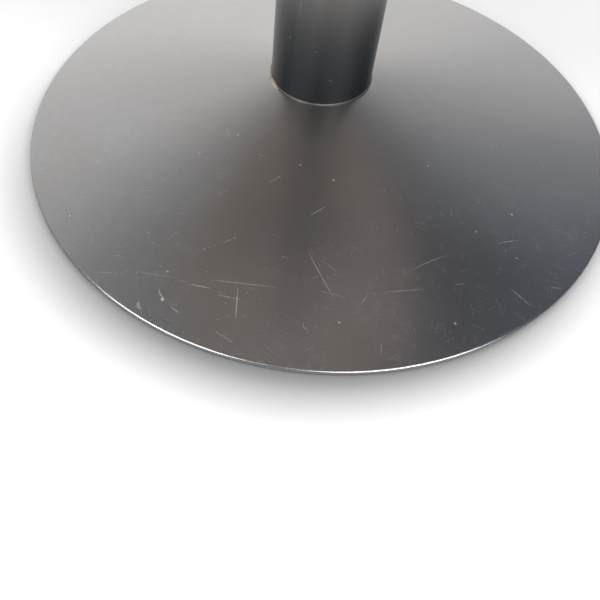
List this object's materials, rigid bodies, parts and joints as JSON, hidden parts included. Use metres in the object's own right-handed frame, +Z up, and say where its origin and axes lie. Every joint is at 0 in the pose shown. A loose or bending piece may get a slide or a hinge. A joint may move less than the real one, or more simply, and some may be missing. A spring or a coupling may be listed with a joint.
{
  "type": "round pedestal table",
  "caption": "Round pedestal table: shallow conical steel foot, one straight tube column and a veneered round top, standing on levelling glides.",
  "frame": {"origin": "on the floor, under the column's centre", "axes": "+Z up along the column; +X and +Y along two arms of the steel cross under the top"},
  "size_m": [0.7, 0.7, 0.74],
  "materials": {
    "plywood_core": "birch plywood, sanded, hidden between the veneers",
    "walnut_veneer": "open-pored dark walnut veneer under satin lacquer",
    "underside_veneer": "plain brown balancing veneer, thin matt lacquer",
    "walnut_edge": "solid walnut edge band, satin lacquer",
    "brass": "turned, unpolished",
    "black_powder_coat": "fine black powder coat",
    "dark_nickel_tube": "dark satin nickel tube, lightly scratched",
    "zinc_plated_steel": "bright zinc plating",
    "plain_steel": "as turned, lightly oiled",
    "clear_plastic_gasket": "thin pale plastic ring, grimy",
    "dark_satin_steel": "spun steel, dark satin nickel finish, scratched near the edge",
    "painted_cast_iron": "rough casting dipped in black primer",
    "foam_rubber": "closed-cell foam rubber",
    "glide_plastic": "black nylon"
  },
  "bodies": {
    "table": {"top_board": "plywood_core", "top_veneer": "walnut_veneer", "underside_veneer": "underside_veneer", "edge_band": "walnut_edge", "insert_nuts": "brass", "steel_cross": "black_powder_coat", "centring_collar": "black_powder_coat", "weld_nut": "zinc_plated_steel", "top_screws": "zinc_plated_steel", "screw_washers": "zinc_plated_steel", "column_tube": "dark_nickel_tube", "column_bottom_plug": "plain_steel", "column_gasket": "clear_plastic_gasket", "tie_rod": "zinc_plated_steel", "foot_nut": "zinc_plated_steel", "spring_washer": "zinc_plated_steel", "foot_washer": "zinc_plated_steel", "foot_cover": "dark_satin_steel", "ballast_casting": "painted_cast_iron", "cover_pads": "foam_rubber", "locating_pins": "plain_steel"},
    "glide_1": {"glide_stud_1": "zinc_plated_steel", "glide_pad_1": "glide_plastic"},
    "glide_2": {"glide_stud_2": "zinc_plated_steel", "glide_pad_2": "glide_plastic"},
    "glide_3": {"glide_stud_3": "zinc_plated_steel", "glide_pad_3": "glide_plastic"},
    "glide_4": {"glide_stud_4": "zinc_plated_steel", "glide_pad_4": "glide_plastic"}
  },
  "joints": [
    {"name": "glide_1_height", "type": "slide", "parent": "table", "child": "glide_1", "axis": [0, 0, 1], "range_m": [-0.006, 0]},
    {"name": "glide_2_height", "type": "slide", "parent": "table", "child": "glide_2", "axis": [0, 0, 1], "range_m": [-0.006, 0]},
    {"name": "glide_3_height", "type": "slide", "parent": "table", "child": "glide_3", "axis": [0, 0, 1], "range_m": [-0.006, 0]},
    {"name": "glide_4_height", "type": "slide", "parent": "table", "child": "glide_4", "axis": [0, 0, 1], "range_m": [-0.006, 0]}
  ]
}
